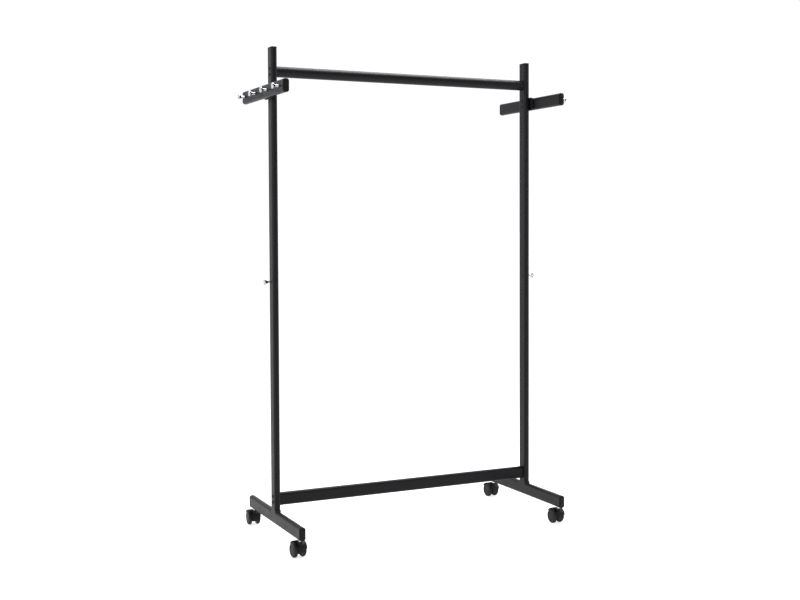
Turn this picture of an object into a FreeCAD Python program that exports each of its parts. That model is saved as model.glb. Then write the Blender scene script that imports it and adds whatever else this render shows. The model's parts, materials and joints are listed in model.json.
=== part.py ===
import FreeCAD, Part

# Rolling coat rack on two T-feet: flat-oval steel tube, a round hanging rail, a low beam,
# two outside arms with turned pegs, and four twin-wheel castors.
#
# Millimetres. +Z up, +X to the right, +Y to the back. The origin is on the floor, midway
# between the feet and midway along them. Castors stand as they trail when the rack has
# just been pulled forward.

import math
import os

V = FreeCAD.Vector
ORIGIN = V(0, 0, 0)
X_AXIS = V(1, 0, 0)
Y_AXIS = V(0, 1, 0)
Z_AXIS = V(0, 0, 1)

# ---- driving dimensions -------------------------------------------------------------
TOTAL_HEIGHT = 1650.0        # floor to the top of the post caps
POST_SPACING = 974.5         # centre to centre of the two posts
FOOT_LENGTH = 504.0          # over the end caps
ARM_LENGTH = 413.0           # over the end caps
CASTOR_HEIGHT = 59.4         # floor to the underside of the feet
RAIL_HEIGHT = 1569.0         # axis of the hanging rail
BEAM_HEIGHT = 141.4          # axis of the low beam
ARM_HEIGHT = 1501.0          # axis of the peg arms
POST_PEG_HEIGHT = 871.5

TUBE_WIDE = 43.0             # one flat-oval tube makes posts, feet, arms and beam
TUBE_NARROW = 21.0
TUBE_CORNER = 8.0
TUBE_WALL = 1.5
RAIL_DIAMETER = 36.0
RAIL_WALL = 1.5

WELD_RADIUS = 5.0            # concave fillet where a post meets its foot

CAP_FLANGE = 4.5             # thickness of the visible part of an end cap
CAP_PROUD = 0.3              # how far a cap stands out all round its tube
CAP_EDGE = 2.2               # rounding of a cap's outer edge
CAP_PLUG = 8.0               # how deep the cap reaches into the tube
CAP_PLUG_WALL = 2.0
PLUG_PLAY = 0.15             # air between a plug and the wall around it

ARM_GAP = 6.0                # air between a post and its arm, filled by the spacer
SPACER_LENGTH = 76.0         # along the arm
SPACER_HEIGHT = 46.0
SPACER_CORNER = 9.0

INSERT_DEPTH = 40.0          # threaded inserts in the ends of rail and beam
SCREW_PITCH = 20.0           # the two screws of a joint are this far apart
SCREW_RADIUS = 3.0
SCREW_HOLE_PLAY = 0.25
HEAD_RADIUS = 5.25
HEAD_HEIGHT = 2.6
HEAD_FLAT_RADIUS = 3.0
HEX_RADIUS = 2.3
HEX_DEPTH = 1.6
CROSSBAR_GRIP = 34.0         # length of a crossbar screw under its head
ARM_SCREW_GRIP = 34.0
NUT_PLATE_THICK = 4.0
NUT_PLATE_WIDTH = 18.0
NUT_PLATE_HEIGHT = 32.0

PEG_PITCH = 116.0            # along the arm
PEG_COUNT = 4
PEG_LENGTH = 25.5
PEG_STEM_RADIUS = 3.8
PEG_HEAD_RADIUS = 9.6
PEG_RIM = 2.4                # straight rim of the head
PEG_DOME = 1.2               # crown of the head's face
PEG_STRAIGHT = 7.5           # cylindrical part of the stem
NUT_FLANGE_RADIUS = 5.6      # rivet nut under an arm peg
NUT_FLANGE_THICK = 0.8
NUT_BODY_RADIUS = 4.4
NUT_DEPTH = 11.0
STUD_RADIUS = 2.5            # threaded end of a peg
STUD_LENGTH = 9.0

STEM_FROM_MIDDLE = 229.0     # castor stems, along a foot
SOCKET_RADIUS = 6.6
SOCKET_HEIGHT = 30.0
STEM_RADIUS = 5.5
STEM_GRIP = 24.0             # length of stem inside the foot
SPINDLE_RADIUS = 4.0
SPINDLE_LENGTH = 19.0
WHEEL_RADIUS = 25.0
WHEEL_THICK = 12.0
WHEEL_OUTER_FACE = 21.5      # from the castor's middle plane to a wheel's outer face
WHEEL_EDGE = 6.0             # outer rounding of the tread
HUB_RADIUS = 8.0
CASTOR_TRAIL = 16.0          # axle behind the stem
AXLE_RADIUS = 3.0
AXLE_HALF = 17.5
RUNNING_PLAY = 0.06          # radial clearance of a turning fit
HOUSING_HALF = 8.6           # half the thickness of the middle web
HOUSING_TOP = 53.6
HOUSING_FLOOR = 15.0         # the web stops this far above the floor
HOOD_INNER = 25.9
HOOD_OUTER = 28.2
HOOD_FRONT = -78.0           # degrees from straight up, negative towards the stem side
HOOD_REAR = 60.0
BRAKE_HOOD_REAR = 17.5       # the hood of a braked castor stops short of its pedal
BRAKE_WEB_RADIUS = 24.2      # and its web passes under the pedal
TOWER_RADIUS = 8.5
PEDAL_PIVOT_ANGLE = 32.0
PEDAL_PIVOT_REACH = 20.0
TRUNNION_RADIUS = 1.6
PEDAL_HALF = 17.0
PEDAL_LUG_HALF = 3.6
LUG_PLAY = 0.4
LUG_RADIUS = 4.0
PEDAL_OUTLINE = [            # side view about the axle: degrees from straight up, radius
    (19.0, 26.9),
    (36.0, 27.0),
    (55.0, 27.3),
    (57.0, 29.2),
    (54.5, 31.3),
    (49.5, 31.0),
    (45.0, 29.4),
    (32.0, 29.3),
    (19.0, 29.2),
]
PEDAL_TIP_START = 24.7       # behind the axle
PEDAL_CLEAR_REAR = 85.0      # degrees from straight up
PEDAL_CORNER = 1.4

# castors: side (-1 left, +1 right), end (-1 front, +1 rear), rest yaw in degrees, braked
CASTORS = {
    "front_left": (-1, -1, 4.0, True),
    "front_right": (1, -1, 2.0, True),
    "rear_left": (-1, 1, -3.0, False),
    "rear_right": (1, 1, 5.0, False),
}
SIDES = {"left": -1, "right": 1}

# ---- worked out ---------------------------------------------------------------------
HALF_SPACING = POST_SPACING / 2
FOOT_TOP = CASTOR_HEIGHT + TUBE_WIDE
FOOT_AXIS = CASTOR_HEIGHT + TUBE_WIDE / 2
POST_INNER = HALF_SPACING - TUBE_NARROW / 2
POST_OUTER = HALF_SPACING + TUBE_NARROW / 2
ARM_AXIS = POST_OUTER + ARM_GAP + TUBE_NARROW / 2
ARM_FACE = ARM_AXIS + TUBE_NARROW / 2
ARM_INNER_FACE = ARM_AXIS - TUBE_NARROW / 2
AXLE_HEIGHT = WHEEL_RADIUS


# ---- shape helpers ------------------------------------------------------------------
def flat_oval(narrow, wide, corner, length):
    """A bar along Z from z = 0, `narrow` in X and `wide` in Y, with rounded long edges."""
    bar = Part.makeBox(narrow, wide, length, V(-narrow / 2, -wide / 2, 0))
    long_edges = [e for e in bar.Edges if abs(e.tangentAt(e.FirstParameter).z) > 0.9]
    return bar.makeFillet(corner, long_edges)


def tube_outline(length):
    """The outside of the rack's stock tube, as a solid bar along Z from z = 0."""
    return flat_oval(TUBE_NARROW, TUBE_WIDE, TUBE_CORNER, length)


def tube_bore(length, play=0.0, wall=TUBE_WALL):
    """The hollow of the stock tube as a solid bar, or a plug that fills it with some play."""
    inset = wall + play
    return flat_oval(
        TUBE_NARROW - 2 * inset, TUBE_WIDE - 2 * inset, TUBE_CORNER - inset, length
    )


def flat_oval_tube(length):
    """The rack's stock tube along Z from z = 0."""
    return tube_outline(length).cut(tube_bore(length))


def along_y(shape):
    """Turn a Z-wise bar to lie along Y with its wide side upright."""
    return shape.rotated(ORIGIN, X_AXIS, -90)


def along_x(shape):
    """Turn a Z-wise bar to lie along X with its wide side upright."""
    return shape.rotated(ORIGIN, V(1, 1, 1), 120)


def moved(shape, x=0.0, y=0.0, z=0.0):
    return shape.translated(V(x, y, z))


def x_rod(radius, start, end, y=0.0, z=0.0):
    """A round rod along X between two X positions."""
    return Part.makeCylinder(radius, abs(end - start), V(min(start, end), y, z), X_AXIS)


def turned(profile):
    """Spin a closed outline, drawn as distance along X and radius along Y, about the X axis."""
    spun = Part.Face(Part.Wire(profile)).revolve(ORIGIN, X_AXIS, 360)
    return spun if spun.Volume > 0 else spun.reversed()


def chain(points):
    """Straight edges through (x, r) points."""
    spots = [V(x, r, 0) for x, r in points]
    return [Part.makeLine(a, b) for a, b in zip(spots, spots[1:])]


def arc(start, middle, end):
    """An arc edge through three (x, r) points."""
    return Part.Arc(V(*start, 0), V(*middle, 0), V(*end, 0)).toShape()


def spherical_crown(tip, radius, height):
    """Arc from the rim of a shallow domed face to its tip on the axis, a true sphere's."""
    ball = (radius**2 + height**2) / (2 * height)
    half_angle = math.asin(radius / ball) / 2
    middle = (tip - ball + ball * math.cos(half_angle), ball * math.sin(half_angle))
    return arc((tip - height, radius), middle, (tip, 0))


def screw_pair_offsets():
    return (-SCREW_PITCH / 2, SCREW_PITCH / 2)


# ---- frame --------------------------------------------------------------------------
def weld_fillet(end):
    """Concave fillet between a post's narrow face and its foot; `end` is -1 front, +1 rear."""
    face_y = end * TUBE_WIDE / 2
    tip_y = face_y + end * WELD_RADIUS
    top_z = FOOT_TOP + WELD_RADIUS
    root_y = face_y - end * TUBE_CORNER
    root_z = FOOT_TOP - TUBE_CORNER
    middle = WELD_RADIUS * (1 - math.sqrt(0.5))
    outline = [
        Part.makeLine(V(0, root_y, root_z), V(0, tip_y, root_z)),
        Part.makeLine(V(0, tip_y, root_z), V(0, tip_y, FOOT_TOP)),
        Part.Arc(
            V(0, tip_y, FOOT_TOP),
            V(0, face_y + end * middle, FOOT_TOP + middle),
            V(0, face_y, top_z),
        ).toShape(),
        Part.makeLine(V(0, face_y, top_z), V(0, root_y, top_z)),
        Part.makeLine(V(0, root_y, top_z), V(0, root_y, root_z)),
    ]
    block = Part.Face(Part.Wire(outline)).extrude(V(TUBE_NARROW, 0, 0))
    footprint = flat_oval(
        TUBE_NARROW, TUBE_WIDE + 2 * WELD_RADIUS, TUBE_CORNER, top_z
    )
    return moved(block, x=-TUBE_NARROW / 2).common(footprint)


def foot_outline():
    """The outside of a foot as a solid bar, midway between the sides."""
    return moved(along_y(tube_outline(FOOT_LENGTH)), y=-FOOT_LENGTH / 2, z=FOOT_AXIS)


def post(side):
    """Upright tube, coped over the foot's rounded top, with its weld fillets and screw holes."""
    start = FOOT_TOP - TUBE_CORNER
    body = moved(tube_outline(TOTAL_HEIGHT - CAP_FLANGE - start), z=start)
    body = body.fuse([weld_fillet(-1), weld_fillet(1)])
    body = body.cut([tube_bore(TOTAL_HEIGHT), foot_outline()])
    hole = SCREW_RADIUS + SCREW_HOLE_PLAY
    heights = [BEAM_HEIGHT, RAIL_HEIGHT, ARM_HEIGHT]
    holes = [
        x_rod(hole, -TUBE_NARROW, TUBE_NARROW, z=height + offset)
        for height in heights
        for offset in screw_pair_offsets()
    ]
    holes.append(x_rod(STUD_RADIUS + SCREW_HOLE_PLAY, -TUBE_NARROW, TUBE_NARROW, z=POST_PEG_HEIGHT))
    return moved(body.cut(holes).removeSplitter(), x=side * HALF_SPACING)


def foot(side):
    """Foot tube with a hole in its underside for each castor socket."""
    length = FOOT_LENGTH - 2 * CAP_FLANGE
    tube = moved(along_y(flat_oval_tube(length)), y=-length / 2, z=FOOT_AXIS)
    holes = [
        Part.makeCylinder(SOCKET_RADIUS, TUBE_WIDE / 2, V(0, end * STEM_FROM_MIDDLE, CASTOR_HEIGHT))
        for end in (-1, 1)
    ]
    return moved(tube.cut(holes), x=side * HALF_SPACING)


def end_cap():
    """Plastic plug for the stock tube: flange from z = 0 up, hollow plug below it."""
    flange = flat_oval(
        TUBE_NARROW + 2 * CAP_PROUD, TUBE_WIDE + 2 * CAP_PROUD, TUBE_CORNER + CAP_PROUD, CAP_FLANGE
    )
    rim = [e for e in flange.Edges if all(v.Z > CAP_FLANGE / 2 for v in e.Vertexes)]
    flange = flange.makeFillet(CAP_EDGE, rim)
    plug = tube_bore(CAP_PLUG, play=PLUG_PLAY)
    core = tube_bore(CAP_PLUG, play=PLUG_PLAY, wall=TUBE_WALL + CAP_PLUG_WALL)
    return flange.fuse(moved(plug.cut(core), z=-CAP_PLUG)).removeSplitter()


def cap_on_bar_end(x, z, length, end):
    """An end cap on a bar that lies along Y; `end` is -1 front, +1 rear."""
    lying = along_y(end_cap())
    if end < 0:
        lying = lying.rotated(ORIGIN, Z_AXIS, 180)
    return moved(lying, x=x, y=end * (length / 2 - CAP_FLANGE), z=z)


def post_cap(side):
    return moved(end_cap(), x=side * HALF_SPACING, z=TOTAL_HEIGHT - CAP_FLANGE)


# ---- crossbars ----------------------------------------------------------------------
def top_rail():
    outer = x_rod(RAIL_DIAMETER / 2, -POST_INNER, POST_INNER, z=RAIL_HEIGHT)
    bore = x_rod(RAIL_DIAMETER / 2 - RAIL_WALL, -POST_INNER, POST_INNER, z=RAIL_HEIGHT)
    return outer.cut(bore)


def bottom_beam():
    tube = along_x(flat_oval_tube(2 * POST_INNER))
    return moved(tube, x=-POST_INNER, z=BEAM_HEIGHT)


def threaded_holes(side, height):
    """Holes for the two screws of a crossbar end, cut from the post side inwards."""
    return [
        x_rod(SCREW_RADIUS, side * (POST_INNER - INSERT_DEPTH), side * POST_INNER, z=height + offset)
        for offset in screw_pair_offsets()
    ]


def rail_insert(side):
    plug = x_rod(
        RAIL_DIAMETER / 2 - RAIL_WALL - PLUG_PLAY,
        side * (POST_INNER - INSERT_DEPTH),
        side * POST_INNER,
        z=RAIL_HEIGHT,
    )
    return plug.cut(threaded_holes(side, RAIL_HEIGHT))


def beam_insert(side):
    start = side * (POST_INNER - INSERT_DEPTH / 2) - INSERT_DEPTH / 2
    plug = moved(along_x(tube_bore(INSERT_DEPTH, play=PLUG_PLAY)), x=start, z=BEAM_HEIGHT)
    return plug.cut(threaded_holes(side, BEAM_HEIGHT))


def button_screw(grip):
    """Socket button-head screw along X: head below x = 0, shank from x = 0 to `grip`."""
    shoulder = (-0.72 * HEAD_HEIGHT, HEAD_FLAT_RADIUS + 0.68 * (HEAD_RADIUS - HEAD_FLAT_RADIUS))
    outline = chain([(-HEAD_HEIGHT, HEAD_FLAT_RADIUS), (-HEAD_HEIGHT, 0), (0, 0), (0, HEAD_RADIUS)])
    outline.append(arc((0, HEAD_RADIUS), shoulder, (-HEAD_HEIGHT, HEAD_FLAT_RADIUS)))
    head = turned(outline)
    hexagon = [
        V(
            -HEAD_HEIGHT,
            HEX_RADIUS * math.cos(math.radians(60 * corner)),
            HEX_RADIUS * math.sin(math.radians(60 * corner)),
        )
        for corner in range(7)
    ]
    socket = Part.Face(Part.makePolygon(hexagon)).extrude(V(HEX_DEPTH, 0, 0))
    return head.fuse(x_rod(SCREW_RADIUS, 0, grip)).cut(socket)


def facing(shape, side):
    """Turn a shape drawn towards +X so that it points towards `side`."""
    return shape if side > 0 else shape.rotated(ORIGIN, Z_AXIS, 180)


def crossbar_screws():
    """Eight equal screws: from each post's outer face into the rail and beam inserts."""
    return [
        moved(facing(button_screw(CROSSBAR_GRIP), -side), x=side * POST_OUTER, z=height + offset)
        for side in SIDES.values()
        for height in (BEAM_HEIGHT, RAIL_HEIGHT)
        for offset in screw_pair_offsets()
    ]


# ---- arms and pegs ------------------------------------------------------------------
def peg_places():
    """Distances of the pegs along an arm, front to rear."""
    return [(index - (PEG_COUNT - 1) / 2) * PEG_PITCH for index in range(PEG_COUNT)]


def arm(side):
    """Arm tube with peg holes in its outer wall and screw holes in its inner wall."""
    length = ARM_LENGTH - 2 * CAP_FLANGE
    tube = moved(along_y(flat_oval_tube(length)), y=-length / 2)
    holes = [x_rod(NUT_BODY_RADIUS, 0, side * TUBE_NARROW, y=y) for y in peg_places()]
    holes += [
        x_rod(SCREW_RADIUS + SCREW_HOLE_PLAY, 0, -side * TUBE_NARROW, z=offset)
        for offset in screw_pair_offsets()
    ]
    return moved(tube.cut(holes), x=side * ARM_AXIS, z=ARM_HEIGHT)


def arm_spacer(side):
    """Rounded block between post and arm, with two through holes."""
    block = along_x(flat_oval(SPACER_LENGTH, SPACER_HEIGHT, SPACER_CORNER, ARM_GAP))
    holes = [
        x_rod(SCREW_RADIUS + SCREW_HOLE_PLAY, 0, ARM_GAP, z=offset)
        for offset in screw_pair_offsets()
    ]
    middle = side * (POST_OUTER + ARM_GAP / 2)
    return moved(block.cut(holes), x=middle - ARM_GAP / 2, z=ARM_HEIGHT)


def arm_screws():
    """Two screws a side, from the post's inner face through the spacer into the nut plate."""
    return [
        moved(
            facing(button_screw(ARM_SCREW_GRIP), side), x=side * POST_INNER, z=ARM_HEIGHT + offset
        )
        for side in SIDES.values()
        for offset in screw_pair_offsets()
    ]


def nut_plate(side):
    """Tapped plate against the inside of the arm's inner wall, trimmed to the tube's bore."""
    start = side * (ARM_INNER_FACE + TUBE_WALL)
    end = start + side * NUT_PLATE_THICK
    corner = V(min(start, end), -NUT_PLATE_WIDTH / 2, ARM_HEIGHT - NUT_PLATE_HEIGHT / 2)
    plate = Part.makeBox(NUT_PLATE_THICK, NUT_PLATE_WIDTH, NUT_PLATE_HEIGHT, corner)
    bore = moved(
        along_y(tube_bore(NUT_PLATE_WIDTH)), x=side * ARM_AXIS, y=-NUT_PLATE_WIDTH / 2, z=ARM_HEIGHT
    )
    holes = [
        x_rod(SCREW_RADIUS, start, end, z=ARM_HEIGHT + offset) for offset in screw_pair_offsets()
    ]
    return plate.common(bore).cut(holes)


def peg():
    """Turned peg along +X from its seat at x = 0: stud behind, stem, flare and domed head."""
    rim_start = PEG_LENGTH - PEG_DOME - PEG_RIM
    flare_middle = (
        PEG_STRAIGHT + 0.66 * (rim_start - PEG_STRAIGHT),
        PEG_STEM_RADIUS + 0.36 * (PEG_HEAD_RADIUS - PEG_STEM_RADIUS),
    )
    outline = chain(
        [
            (PEG_LENGTH, 0),
            (-STUD_LENGTH, 0),
            (-STUD_LENGTH, STUD_RADIUS),
            (0, STUD_RADIUS),
            (0, PEG_STEM_RADIUS),
            (PEG_STRAIGHT, PEG_STEM_RADIUS),
        ]
    )
    outline.append(
        arc((PEG_STRAIGHT, PEG_STEM_RADIUS), flare_middle, (rim_start, PEG_HEAD_RADIUS))
    )
    outline += chain([(rim_start, PEG_HEAD_RADIUS), (rim_start + PEG_RIM, PEG_HEAD_RADIUS)])
    outline.append(spherical_crown(PEG_LENGTH, PEG_HEAD_RADIUS, PEG_DOME))
    return turned(outline)


def arm_peg(side, y):
    seat = side * (ARM_FACE + NUT_FLANGE_THICK)
    return moved(facing(peg(), side), x=seat, y=y, z=ARM_HEIGHT)


def post_peg(side):
    return moved(facing(peg(), side), x=side * POST_OUTER, z=POST_PEG_HEIGHT)


def rivet_nut(side, y):
    """Flanged rivet nut in the arm's outer wall; the peg's stud screws into it."""
    outline = chain(
        [
            (NUT_FLANGE_THICK, STUD_RADIUS),
            (-NUT_DEPTH, STUD_RADIUS),
            (-NUT_DEPTH, NUT_BODY_RADIUS),
            (0, NUT_BODY_RADIUS),
            (0, NUT_FLANGE_RADIUS),
            (NUT_FLANGE_THICK, NUT_FLANGE_RADIUS),
            (NUT_FLANGE_THICK, STUD_RADIUS),
        ]
    )
    return moved(facing(turned(outline), side), x=side * ARM_FACE, y=y, z=ARM_HEIGHT)


def post_peg_screws():
    """One sleeve screw behind each post peg, from the post's inner face onto the peg's stud."""
    sleeve_end = TUBE_NARROW - STUD_LENGTH - PLUG_PLAY
    screws = []
    for side in SIDES.values():
        head = x_rod(HEAD_RADIUS, -HEAD_HEIGHT / 2, 0)
        shank = x_rod(STUD_RADIUS, 0, sleeve_end)
        screw = facing(head.fuse(shank), side)
        screws.append(moved(screw, x=side * POST_INNER, z=POST_PEG_HEIGHT))
    return screws


# ---- castors: drawn with the stem on the Z axis and the axle behind it, towards +Y -----
def from_axle(angle, radius):
    """(y, z) of a point at `radius` from the axle, `angle` degrees from up towards the rear."""
    turn = math.radians(angle)
    return CASTOR_TRAIL + radius * math.sin(turn), AXLE_HEIGHT + radius * math.cos(turn)


def arc_plate(inner, outer, start, end, half_width):
    """A curved plate about the axle, between two angles."""
    middle = (start + end) / 2
    corners = [(angle, radius) for radius in (inner, outer) for angle in (start, middle, end)]
    inner_pts = [V(-half_width, *from_axle(*corner)) for corner in corners[:3]]
    outer_pts = [V(-half_width, *from_axle(*corner)) for corner in corners[3:]]
    outline = [
        Part.Arc(*inner_pts).toShape(),
        Part.makeLine(inner_pts[2], outer_pts[2]),
        Part.Arc(*outer_pts).toShape(),
        Part.makeLine(outer_pts[0], inner_pts[0]),
    ]
    return Part.Face(Part.Wire(outline)).extrude(V(2 * half_width, 0, 0))


def housing(braked):
    """Middle web, stem tower and hood in one moulding."""
    web = x_rod(HOOD_INNER + 0.5, -HOUSING_HALF, HOUSING_HALF, y=CASTOR_TRAIL, z=AXLE_HEIGHT)
    keep = Part.makeBox(
        2 * HOUSING_HALF, 4 * WHEEL_RADIUS, HOUSING_TOP, V(-HOUSING_HALF, -WHEEL_RADIUS * 2, HOUSING_FLOOR)
    )
    web = web.common(keep)
    tower = Part.makeCylinder(TOWER_RADIUS, HOUSING_TOP - AXLE_HEIGHT, V(0, 0, AXLE_HEIGHT))
    rear = BRAKE_HOOD_REAR if braked else HOOD_REAR
    hood = arc_plate(HOOD_INNER, HOOD_OUTER, HOOD_FRONT, rear, WHEEL_OUTER_FACE - 0.4)
    body = web.fuse([tower, hood])
    spindle_hole = Part.makeCylinder(
        SPINDLE_RADIUS + RUNNING_PLAY, HOUSING_TOP, V(0, 0, HOUSING_TOP - SPINDLE_LENGTH - 1.0)
    )
    axle_hole = x_rod(AXLE_RADIUS, -HOUSING_HALF, HOUSING_HALF, y=CASTOR_TRAIL, z=AXLE_HEIGHT)
    body = body.cut([spindle_hole, axle_hole])
    if braked:
        body = body.cut(pedal_slot())
    return body.removeSplitter()


def pedal_slot():
    """Room in the web for the pedal's lug, and the two holes for its trunnions."""
    y, z = from_axle(PEDAL_PIVOT_ANGLE, PEDAL_PIVOT_REACH)
    half = PEDAL_LUG_HALF + LUG_PLAY
    slot = Part.makeBox(2 * half, WHEEL_RADIUS, WHEEL_RADIUS, V(-half, y - 6.0, z - 5.0))
    holes = x_rod(TRUNNION_RADIUS + RUNNING_PLAY, -HOUSING_HALF, HOUSING_HALF, y=y, z=z)
    clear = arc_plate(
        BRAKE_WEB_RADIUS, 2 * WHEEL_RADIUS, BRAKE_HOOD_REAR, PEDAL_CLEAR_REAR, 2 * PEDAL_HALF
    )
    return [slot, holes, clear]


def brake_pedal():
    """Pedal on a lug with two trunnions, standing clear of both wheels at rest."""
    y, z = from_axle(PEDAL_PIVOT_ANGLE, PEDAL_PIVOT_REACH)
    outline = [V(0, *from_axle(angle, radius)) for angle, radius in PEDAL_OUTLINE]
    outline.append(outline[0])
    plate = Part.Face(Part.makePolygon(outline)).extrude(V(2 * PEDAL_HALF, 0, 0))
    plate = moved(plate, x=-PEDAL_HALF)
    tip_start = CASTOR_TRAIL + PEDAL_TIP_START
    tip = [e for e in plate.Edges if e.Length < 2 * PEDAL_HALF and e.CenterOfMass.y > tip_start]
    plate = plate.makeFillet(PEDAL_CORNER, tip)
    lug = x_rod(LUG_RADIUS, -PEDAL_LUG_HALF, PEDAL_LUG_HALF, y=y, z=z)
    neck = Part.makeBox(
        2 * PEDAL_LUG_HALF, 1.2 * LUG_RADIUS, 1.9 * LUG_RADIUS,
        V(-PEDAL_LUG_HALF, y - 0.35 * LUG_RADIUS, z),
    )
    reach = HOUSING_HALF - LUG_PLAY
    trunnions = x_rod(TRUNNION_RADIUS, -reach, reach, y=y, z=z)
    return plate.fuse([lug, neck, trunnions]).removeSplitter()


def wheel(side):
    """One wheel: rounded tread, ringed outer face, blind bore that turns on the axle."""
    outer = WHEEL_OUTER_FACE
    inner = WHEEL_OUTER_FACE - WHEEL_THICK
    bore = AXLE_RADIUS + RUNNING_PLAY
    bulge = WHEEL_EDGE * (1 - math.sqrt(0.5))
    outline = chain(
        [
            (AXLE_HALF + 0.4, 0),
            (AXLE_HALF + 0.4, bore),
            (inner - 0.8, bore),
            (inner - 0.8, HUB_RADIUS),
            (inner + 2.0, HUB_RADIUS + 1.5),
            (inner + 2.0, WHEEL_RADIUS - 5.5),
            (inner, WHEEL_RADIUS - 4.5),
            (inner, WHEEL_RADIUS - WHEEL_EDGE / 2),
        ]
    )
    outline.append(
        arc(
            (inner, WHEEL_RADIUS - WHEEL_EDGE / 2),
            (inner + bulge / 2, WHEEL_RADIUS - bulge / 2),
            (inner + WHEEL_EDGE / 2, WHEEL_RADIUS),
        )
    )
    outline += chain([(inner + WHEEL_EDGE / 2, WHEEL_RADIUS), (outer - WHEEL_EDGE, WHEEL_RADIUS)])
    outline.append(
        arc(
            (outer - WHEEL_EDGE, WHEEL_RADIUS),
            (outer - bulge, WHEEL_RADIUS - bulge),
            (outer, WHEEL_RADIUS - WHEEL_EDGE),
        )
    )
    outline += chain(
        [
            (outer, WHEEL_RADIUS - WHEEL_EDGE),
            (outer, WHEEL_RADIUS - 7.4),
            (outer - 1.2, WHEEL_RADIUS - 8.6),
            (outer - 1.2, WHEEL_RADIUS - 12.5),
            (outer - 0.4, WHEEL_RADIUS - 13.5),
            (outer, 0),
            (AXLE_HALF + 0.4, 0),
        ]
    )
    spun = facing(turned(outline), side)
    return moved(spun, y=CASTOR_TRAIL, z=AXLE_HEIGHT)


def axle():
    return x_rod(AXLE_RADIUS, -AXLE_HALF, AXLE_HALF, y=CASTOR_TRAIL, z=AXLE_HEIGHT)


def stem():
    """Steel stem: spindle in the housing, bright collar, grip in the foot's socket."""
    collar_start = HOUSING_TOP + 0.4
    top = CASTOR_HEIGHT + STEM_GRIP
    spindle = Part.makeCylinder(
        SPINDLE_RADIUS, SPINDLE_LENGTH, V(0, 0, HOUSING_TOP - SPINDLE_LENGTH)
    )
    spindle = spindle.fuse(Part.makeCylinder(SPINDLE_RADIUS, 1.0, V(0, 0, HOUSING_TOP - 0.5)))
    grip = Part.makeCylinder(STEM_RADIUS, top - collar_start, V(0, 0, collar_start))
    tip = [e for e in grip.Edges if e.CenterOfMass.z > top - 0.1 and len(e.Vertexes) == 1]
    return spindle.fuse(grip.makeChamfer(1.5, tip)).removeSplitter()


def castor_socket(side, end):
    """Sleeve inside the foot that holds one stem; its mouth is coped to the foot's underside."""
    centre = V(side * HALF_SPACING, end * STEM_FROM_MIDDLE, CASTOR_HEIGHT)
    sleeve = Part.makeCylinder(SOCKET_RADIUS, SOCKET_HEIGHT, centre)
    bore = Part.makeCylinder(STEM_RADIUS, STEM_GRIP + 0.5, centre)
    return sleeve.cut(bore).common(moved(foot_outline(), x=side * HALF_SPACING))


def placed_castor(shape, side, end, yaw):
    """Turn a castor piece to its rest yaw and set it under its foot."""
    turned_shape = shape.rotated(ORIGIN, Z_AXIS, yaw)
    return moved(turned_shape, x=side * HALF_SPACING, y=end * STEM_FROM_MIDDLE)


# ---- output -------------------------------------------------------------------------
def all_nodes():
    """Every node's name with its solids."""
    nodes = {}
    for name, side in SIDES.items():
        nodes[f"{name}_post"] = [post(side)]
        nodes[f"{name}_foot"] = [foot(side)]
        nodes[f"{name}_post_cap"] = [post_cap(side)]
        nodes[f"{name}_arm"] = [arm(side)]
        nodes[f"{name}_arm_spacer"] = [arm_spacer(side)]
        nodes[f"{name}_post_peg"] = [post_peg(side)]
        for end_name, end in (("front", -1), ("rear", 1)):
            foot_cap = cap_on_bar_end(side * HALF_SPACING, FOOT_AXIS, FOOT_LENGTH, end)
            nodes[f"{name}_foot_{end_name}_cap"] = [foot_cap]
            arm_cap = cap_on_bar_end(side * ARM_AXIS, ARM_HEIGHT, ARM_LENGTH, end)
            nodes[f"{name}_arm_{end_name}_cap"] = [arm_cap]
        for number, y in enumerate(peg_places(), start=1):
            nodes[f"{name}_arm_peg_{number}"] = [arm_peg(side, y)]
    nodes["top_rail"] = [top_rail()]
    nodes["bottom_beam"] = [bottom_beam()]
    nodes["rail_end_inserts"] = [rail_insert(side) for side in SIDES.values()]
    nodes["beam_end_inserts"] = [beam_insert(side) for side in SIDES.values()]
    nodes["crossbar_screws"] = crossbar_screws()
    nodes["arm_screws"] = arm_screws()
    nodes["arm_nut_plates"] = [nut_plate(side) for side in SIDES.values()]
    nodes["arm_peg_rivet_nuts"] = [
        rivet_nut(side, y) for side in SIDES.values() for y in peg_places()
    ]
    nodes["post_peg_screws"] = post_peg_screws()
    nodes["castor_sockets"] = [
        castor_socket(side, end) for side, end, _, _ in CASTORS.values()
    ]
    for name, (side, end, yaw, braked) in CASTORS.items():
        pieces = {
            "castor_stem": stem(),
            "castor_housing": housing(braked),
            "castor_axle": axle(),
            "castor_left_wheel": wheel(-1),
            "castor_right_wheel": wheel(1),
        }
        if braked:
            pieces["brake_pedal"] = brake_pedal()
        for piece_name, shape in pieces.items():
            nodes[f"{name}_{piece_name}"] = [placed_castor(shape, side, end, yaw)]
    return nodes


def main():
    os.makedirs("parts", exist_ok=True)
    for name, solids in all_nodes().items():
        shape = solids[0] if len(solids) == 1 else Part.makeCompound(solids)
        count = len(shape.Solids)
        if count != len(solids) or not shape.isValid():
            raise ValueError(f"{name}: {count} solids for {len(solids)}, valid {shape.isValid()}")
        shape.exportStep(os.path.join("parts", f"{name}.step"))
        print(f"{name}: {count} solid(s), {shape.Volume / 1000:.2f} cm3")


main()
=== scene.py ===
"""Rolling coat rack on twin-wheel castors: the finished look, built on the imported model.

Metres, in the model's own frame: +Z up, +X to the right post, +Y to the back, the way the
castors trail. Each sub-assembly is a class that models its pieces and dresses them.
"""

from __future__ import annotations

import json
import logging
import math
from collections.abc import Callable, Iterator, Mapping, Sequence
from contextlib import contextmanager
from dataclasses import dataclass
from enum import Enum

import bmesh
import bpy
from mathutils import Matrix, Vector

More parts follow.
